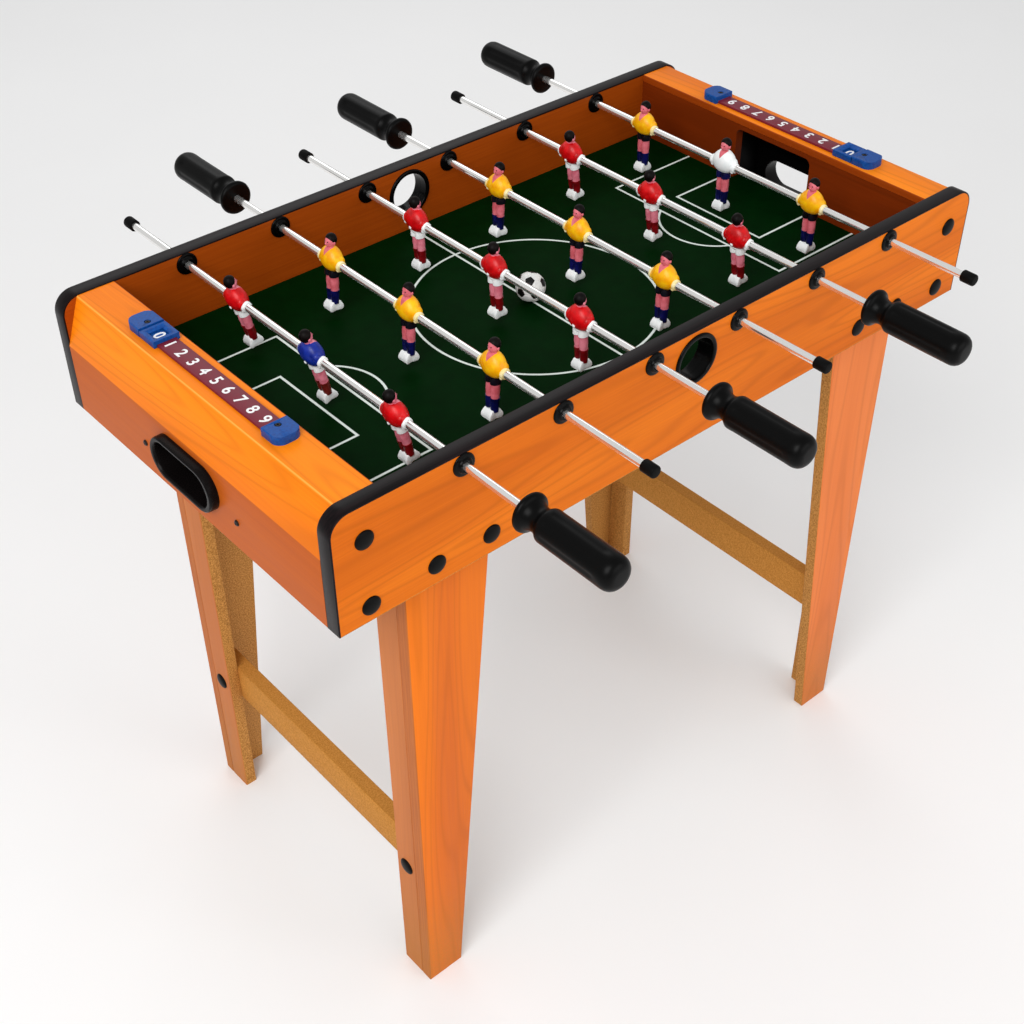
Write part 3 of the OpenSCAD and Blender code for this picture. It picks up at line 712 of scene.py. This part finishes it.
def limb(outline, place, squeeze, part):
    """A turned limb squeezed front to back, in millimetres, standing at its place."""
    mesh = turned(mm(*outline), 20, False)
    bmesh.ops.scale(mesh, vec=(squeeze, 1, 1), verts=mesh.verts)
    bmesh.ops.translate(mesh, vec=[p / 1000 for p in place], verts=mesh.verts)
    for face in mesh.faces:
        face.material_index = part
    return mesh


shirt_middle, shirt_half_height = 2.7, 11.3
neck_low = 0.0072
neck_spread = 0.6


def shirt():
    """A full shirt over the rod, open in a V at the neck and widest at the rod."""
    narrower_above, wider_below = 0.2, 0.04
    mesh = ball_shape((0, 0, shirt_middle), (8.3, 12.9, shirt_half_height), SHIRT, 32, 22)
    for vert in mesh.verts:
        rise = (vert.co.z * 1000 - shirt_middle) / shirt_half_height
        vert.co.y *= 1 - narrower_above * max(rise, 0) + wider_below * max(-rise, 0)
    for way in (-1, 1):
        bmesh.ops.bisect_plane(mesh, geom=mesh.verts[:] + mesh.edges[:] + mesh.faces[:],
                               plane_co=(0, 0, neck_low), plane_no=(0, way, -neck_spread))
    for face in mesh.faces:
        middle = face.calc_center_median()
        if middle.x > 0 and abs(middle.y) < (middle.z - neck_low) * neck_spread:
            face.material_index = SKIN
    return mesh


boot_half_width = 0.0058
boot_half_length = 0.007
boot_waist = 0.24


def boots():
    """A pair of boots as one block: waisted at the middle, with pointed toes and heels."""
    mesh = bmesh.new()
    side_view = [(-5.4, -45.5), (5.4, -45.5), (7, -43.4), (6.6, -40.4), (4, -36.6), (-4, -36.6),
                 (-6.6, -40.4), (-7, -43.4)]
    points = [mesh.verts.new((x, -boot_half_width, z)) for x, z in mm(*side_view)]
    face = mesh.faces.new(points)
    pushed = bmesh.ops.extrude_face_region(mesh, geom=[face])["geom"]
    bmesh.ops.translate(mesh, vec=(0, 2 * boot_half_width, 0), verts=only(bmesh.types.BMVert, pushed))
    for across_boots in ((0, 1, 0), (1, 0, 0)):
        bmesh.ops.bisect_plane(mesh, geom=mesh.verts[:] + mesh.edges[:] + mesh.faces[:], plane_co=(0, 0, 0),
                               plane_no=across_boots)
    for vert in mesh.verts:
        near = 1 - min(abs(vert.co.x) / boot_half_length, 1)
        vert.co.y *= 1 - boot_waist * near
        between_toes = abs(vert.co.y) < 0.001 and abs(vert.co.x) > 0.006
        if between_toes:
            vert.co.x *= 0.82
    bmesh.ops.recalc_face_normals(mesh, faces=mesh.faces)
    bmesh.ops.bevel(mesh, geom=[edge for edge in mesh.edges if edge.calc_face_angle(0) > 0.35], offset=0.0009,
                    segments=2, profile=0.5, affect="EDGES", material=-1, clamp_overlap=True)
    for face in mesh.faces:
        face.material_index = BOOTS
    return mesh


sleeve_end = 0.0125


def figure():
    """One man facing +X, hanging from a rod along Y at the origin."""
    parts = [shirt(), boots()]
    neck = [(0, 18), (2.4, 17), (2.9, 14), (3.4, 11), (0, 10)]
    short_leg = [(0, -7), (3.4, -7.4), (3.8, -9), (3.9, -13), (0, -13.2)]
    knee = [(0, -12.6), (3.1, -12.6), (3.3, -16), (3.5, -20), (3.2, -24), (3.2, -27), (0, -27.2)]
    sock = [(0, -25.6), (3.6, -26), (3.6, -27.6), (3.3, -28.4), (3.3, -32), (2.9, -38.5), (0, -39)]
    # neck, head, nose and hair
    parts.append(limb(neck, (0.2, 0, 0), 1, SKIN))
    parts.append(ball_shape((0.6, 0, 17.8), (4.5, 4.2, 5.4), SKIN, 24, 16))
    parts.append(ball_shape((5.1, 0, 17), (0.9, 0.8, 1.1), SKIN, 10, 8))
    hair = ball_shape((-0.3, 0, 19.4), (5.1, 4.9, 5.5), HAIR, 24, 16)
    bmesh.ops.bisect_plane(hair, geom=hair.verts[:] + hair.edges[:] + hair.faces[:],
                           plane_co=(0.0012, 0, 0.019), plane_no=(0.72, 0, -0.69), clear_outer=True)
    bmesh.ops.contextual_create(hair, geom=[edge for edge in hair.edges if edge.is_boundary])
    for face in hair.faces:
        face.material_index = HAIR
    parts.append(hair)
    # ears, eyes, upper arms, hands, and a leg on each side
    for way in (-1, 1):
        parts.append(ball_shape((-0.2, way * 4.4, 17.4), (1.2, 0.8, 1.6), SKIN, 10, 8))
        parts.append(ball_shape((4.5, way * 1.7, 18.8), (0.5, 0.6, 0.5), EYES, 10, 8))
        parts.append(ball_shape((-1.4, way * 9.6, 2), (4.6, 3.6, 5.6), SHIRT, 16, 12))
        parts.append(ball_shape((-3.2, way * 11.9, -2.4), (1.3, 1.9, 2.4), TRIM, 14, 10))
        parts.append(ball_shape((2.6, way * 11.9, -3), (1.3, 1.9, 2), TRIM, 14, 10))
        parts.append(limb(short_leg, (0, way * 3.1, 0), 1.25, SHORTS))
        parts.append(limb(knee, (0, way * 2.9, 0), 1.1, SKIN))
        parts.append(limb(sock, (0, way * 2.9, 0), 1.1, SOCKS))
    # the hub on the rod, the seat of the shorts and the moulding's stub at the back
    hub = turned(mm((3.3, -14.5), (4.1, -14.5), (4.5, -14.1), (4.6, -12), (4.6, 12), (4.5, 14.1), (4.1, 14.5),
                    (3.3, 14.5)), 28)
    bmesh.ops.rotate(hub, cent=(0, 0, 0), matrix=Matrix.Rotation(math.radians(90), 3, "X"), verts=hub.verts)
    for face in hub.faces:
        face.material_index = SHIRT if abs(face.calc_center_median().y) < sleeve_end else TRIM
    parts.append(hub)
    parts.append(ball_shape((0, 0, -7), (5.2, 7.2, 3.2), SHORTS, 20, 12))
    parts.append(ball_shape((-7.6, 0, -2), (0.9, 1.5, 1.5), TRIM, 14, 10))
    return gathered(parts)


def moulded(name, light, dark, roughness=0.32, shine=0.3):
    """Painted plastic, a little uneven where the paint is thin."""
    finish = Finish(name, roughness=roughness, shine=shine)
    cloud = finish.noise(160, detail=3)
    finish.colour(finish.ramp(cloud, (0.35, tint(dark)), (0.65, tint(light))))
    finish.roughness(cloud * 0.2 + (roughness - 0.1))
    finish.relief(cloud, 0.15, 0.0003)
    return finish


skin_paint = moulded("skin_paint", "e67884", "cc5c66")
hair_paint = moulded("hair_paint", "0c0605", "040202", 0.5, 0.1)
eye_paint = moulded("eye_paint", "0a0a0a", "050505")
white_plastic = moulded("white_plastic", "fafcfc", "eef4f4")
cream_plastic = moulded("cream_plastic", "fbf0c0", "f2dc90")
red_paint = moulded("red_paint", "dc0c14", "b4060c")
dark_red_paint = moulded("dark_red_paint", "860a12", "64060c")
yellow_paint = moulded("yellow_paint", "ffc20c", "f4a004")
navy_paint = moulded("navy_paint", "0e1058", "060830")
black_paint = moulded("black_paint", "0a0a16", "040408")
blue_paint = moulded("blue_paint", "16309a", "0c2078")
pink_plastic = moulded("pink_plastic", "ec8c9c", "d46a7c")
brown_red_paint = moulded("brown_red_paint", "7a2018", "5c1610")
kits = {
    "red": ([red_paint, pink_plastic, hair_paint, white_plastic, white_plastic, dark_red_paint,
             white_plastic, eye_paint], "red_kit"),
    "yellow": ([yellow_paint, skin_paint, hair_paint, cream_plastic, black_paint, navy_paint,
                white_plastic, eye_paint], "yellow_kit"),
    "blue": ([blue_paint, pink_plastic, hair_paint, white_plastic, white_plastic, brown_red_paint,
              white_plastic, eye_paint], "blue_kit"),
    "white": ([white_plastic, skin_paint, hair_paint, white_plastic, navy_paint, navy_paint,
               white_plastic, eye_paint], "white_kit"),
}
player_gap = 0.103
rod_turns = (13, -3, 3, -2, 8, 0)


def put_players(name, node, number, spots, kit):
    """Fixes figures on a rod as it stands, turned the way their side plays."""
    team_low, team_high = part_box("players_%d" % number)
    rod_slide = (team_low[1] + team_high[1]) / 2
    figures = []
    for spot in spots:
        man = figure()
        facing = Matrix.Rotation(0 if number % 2 else math.pi, 4, "Z")
        swing = Matrix.Rotation(math.radians(-rod_turns[number - 1]), 4, "Y")
        place = Matrix.Translation((rod_places[number - 1], rod_slide + spot * player_gap, rod_height))
        bmesh.ops.transform(man, matrix=place @ swing @ facing, verts=man.verts)
        figures.append(man)
    finishes, slot = kits[kit]
    team = make_piece(name, gathered(figures), finishes, 45)
    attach(team, "rod_assembly_%d" % number)
    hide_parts(node)


for number in range(1, 7):
    spots = (-1, 1) if number in (1, 6) else (-1, 0, 1)
    put_players("men_%d" % number, "players_%d" % number, number, spots, "red" if number % 2 else "yellow")
put_players("keeper_blue", "goalkeeper_left", 1, (0,), "blue")
put_players("keeper_white", "goalkeeper_right", 6, (0,), "white")


# --- Ball -------------------------------------------------------------------------------------
# A small moulded football: twelve black five-sided panels among twenty white six-sided ones, with
# a shallow seam round each.

ball_low, ball_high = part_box("ball")
ball_radius = (ball_high[0] - ball_low[0]) / 2
panels = bmesh.new()
bmesh.ops.create_icosphere(panels, subdivisions=1, radius=1)
side_length = max(edge.calc_length() for edge in panels.edges)
bmesh.ops.bevel(panels, geom=panels.verts[:], offset=side_length / 3, segments=1, profile=0.5,
                affect="VERTICES", material=-1, clamp_overlap=False)
seam = panels.verts.layers.float.new("seam")
for vert in panels.verts:
    vert[seam] = 1
stitched = panels.faces[:]
for face in stitched:
    face.material_index = 1 if len(face.verts) == 5 else 0
bmesh.ops.inset_individual(panels, faces=stitched, thickness=0.03, depth=0)
for face in stitched:
    for vert in face.verts:
        vert[seam] = 0
bmesh.ops.poke(panels, faces=stitched)
bmesh.ops.subdivide_edges(panels, edges=[edge for edge in panels.edges if edge.calc_length() > 0.1], cuts=5,
                          use_grid_fill=True)
seam_depth = 0.025
for vert in panels.verts:
    vert.co = vert.co.normalized() * ball_radius * (1 - seam_depth * vert[seam])
turn = Matrix.Rotation(math.radians(24), 4, "Y") @ Matrix.Rotation(math.radians(-14), 4, "X")
bmesh.ops.transform(panels, matrix=Matrix.Translation((ball_low + ball_high) / 2) @ turn,
                    verts=panels.verts)
bmesh.ops.recalc_face_normals(panels, faces=panels.faces)
ball_white = moulded("ball_white", "f6f6f4", "e6e8e6", 0.3)
ball_black = moulded("ball_black", "141212", "080707", 0.3)
football = make_piece("panelled_ball", panels, [ball_white, ball_black], 60)
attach(football, "loose_ball")
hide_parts("ball")


# --- Score counters ---------------------------------------------------------------------------
# A maroon plastic strip with moulded white digits is screwed down between two blue end blocks,
# and a blue slider wrapped round it shows one digit in its window. Zero stands on a blue field.

first_digit = 0.0756
digit_gap = 0.01585
digit_height = 0.0138
digit_boldness = 0.0002
window_reach, window_side = 0.0062, 0.0057
window_chamfer = 0.0019
strip_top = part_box("score_strip_left")[1][2]


def counter_skin(name):
    """Satin moulded plastic that is still to be coloured, and its fine skin."""
    finish = Finish(name)
    skin = finish.noise(500, detail=4)
    finish.roughness(skin * 0.2 + 0.3)
    finish.relief(skin, 0.2, 0.0002)
    return finish, skin


def counter_plastic(name, light, dark):
    finish, skin = counter_skin(name)
    finish.colour(finish.ramp(skin, (0.3, tint(dark)), (0.7, tint(light))))
    return finish


blue_plastic = counter_plastic("blue_plastic", "0c4f9c", "063a80")
digit_paint = counter_plastic("digit_paint", "f7f7f7", "e4e4e6")


def digit_mesh(digit, place, way):
    """One raised digit, thickened and set on the strip to be read from outside the table."""
    letters = bpy.data.curves.new("digit", "FONT")
    letters.body = str(digit)
    letters.size = digit_height
    letters.offset = digit_boldness
    letters.extrude = 0.00018
    letters.align_x = "CENTER"
    letters.align_y = "CENTER"
    holder = bpy.data.objects.new("digit", letters)
    bpy.context.scene.collection.objects.link(holder)
    bpy.context.view_layer.update()
    flat = bpy.data.meshes.new_from_object(holder.evaluated_get(bpy.context.evaluated_depsgraph_get()))
    bpy.data.objects.remove(holder)
    mesh = bmesh.new()
    mesh.from_mesh(flat)
    bmesh.ops.remove_doubles(mesh, verts=mesh.verts, dist=0.000005)
    lows = [min(v.co[axis] for v in mesh.verts) for axis in (0, 1)]
    highs = [max(v.co[axis] for v in mesh.verts) for axis in (0, 1)]
    bmesh.ops.translate(mesh, vec=(-(lows[0] + highs[0]) / 2, -(lows[1] + highs[1]) / 2, 0),
                        verts=mesh.verts)
    turn = Matrix.Rotation(math.radians(-90 if way < 0 else 90), 4, "Z")
    bmesh.ops.transform(mesh, matrix=Matrix.Translation(place) @ turn, verts=mesh.verts)
    return mesh


def in_window(place):
    """True on the upper rim of the window in the slider now being made."""
    return (place.z > clip_high[2] - 0.0002 and abs(abs(place.x) - counter_x) < window_reach
            and abs(place.y - clip_middle) < window_side)


for end, sign in (("left", -1), ("right", 1)):
    strip_finish, strip_skin = counter_skin("strip_plastic_" + end)
    zero_field = (strip_finish.y * -sign).over(first_digit - digit_gap / 2)
    strip_finish.colour(strip_finish.mix(
        zero_field, strip_finish.mix(strip_skin, tint("641a29"), tint("7d2233")),
        strip_finish.mix(strip_skin, tint("0c3f82"), tint("12549e"))))
    strip = make_piece("digit_strip_" + end, softened("score_strip_" + end, 0.0005, longer=0.1),
                       [strip_finish])
    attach(strip, "table")
    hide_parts("score_strip_" + end)
    digits = make_piece("digits_" + end, gathered(
        [digit_mesh(digit, (sign * counter_x, -sign * (first_digit - digit * digit_gap), strip_top + 0.0001),
                    sign) for digit in range(10)]), [digit_paint])
    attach(digits, "table")
    clip_low, clip_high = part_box("score_slider_" + end)
    clip_middle = (clip_low[1] + clip_high[1]) / 2
    clip = softened("score_slider_" + end, 0.0005, longer=0.004, where=lambda middle: not in_window(middle))
    rim = [edge for edge in clip.edges if all(in_window(vert.co) for vert in edge.verts)]
    bmesh.ops.bevel(clip, geom=rim, offset=window_chamfer, segments=1, profile=0.5, affect="EDGES", material=-1,
                    clamp_overlap=True)
    slider = make_piece("digit_slider_" + end, clip, [blue_plastic])
    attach(slider, "slider_" + end)
    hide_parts("score_slider_" + end)
blocks = make_piece("counter_blocks", softened("score_end_blocks", 0.0005, longer=0.006), [blue_plastic])
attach(blocks, "table")
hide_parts("score_end_blocks")


# --- Legs and cross bars ----------------------------------------------------------------------
# Each leg is two tapered boards glued edge to face: the side one in orange laminate and the end
# one in a paler pinkish print. Their edges and backs, and the bars between the legs, are bare board.

veneer = 0.0008
worn_height = 0.08
side_print = {-1: ("e6761a", "d06420"), 1: ("e58044", "d66e34")}
for corner_name, end, side, shift in (("front_left", -1, -1, 11), ("front_right", 1, -1, 14),
                                      ("back_left", -1, 1, 17), ("back_right", 1, 1, 20)):
    for part, light, dark in (("side", *side_print[end]), ("end", "cc7c46", "b86a3a")):
        leg_finish, print_colour, leg_fibre = laminate(
            "leg_%s_%s" % (part, corner_name), "Z", tint(light), tint(dark), shift + len(part),
            0.4 if part == "side" else 0.15)
        printed = abs(leg_finish.x).over(leg_end_face - veneer)
        if part == "side":
            end_print = leg_finish.ramp(leg_fibre, (0.3, tint("aa5c2c")), (0.62, tint("be6e38")))
            print_colour = leg_finish.mix(printed, print_colour, end_print)
            printed = printed.either(abs(leg_finish.y).over(panel_inner_face - veneer))
        worn = (1 - leg_finish.z.over(worn_height, worn_height)) * leg_finish.noise(700, detail=4) * 0.8
        print_colour = leg_finish.mix(worn, print_colour, tint("b07428"))
        leg_finish.colour(leg_finish.mix(printed, bare_board(leg_finish), print_colour))
        leg_finish.roughness(leg_fibre * 0.15 + 0.42)
        leg_finish.relief(leg_fibre, 0.08, 0.0002)
        node = "leg_%s_board_%s" % (part, corner_name)
        leg_board = make_piece(node + "_veneered", softened(node, 0.0008, longer=0.03), [leg_finish])
        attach(leg_board, "table")
        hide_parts(node)

for end in ("left", "right"):
    bar_finish = Finish("bare_bar_" + end, roughness=0.7, shine=0.1)
    bar_finish.colour(bar_finish.mix(0.45, bare_board(bar_finish), tint("cc8834")))
    bar_finish.relief(bar_finish.noise(500, detail=4), 0.3, 0.0003)
    bar = make_piece("bare_cross_bar_" + end, softened("cross_bar_" + end, 0.0008, longer=0.03), [bar_finish])
    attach(bar, "table")
    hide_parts("cross_bar_" + end)
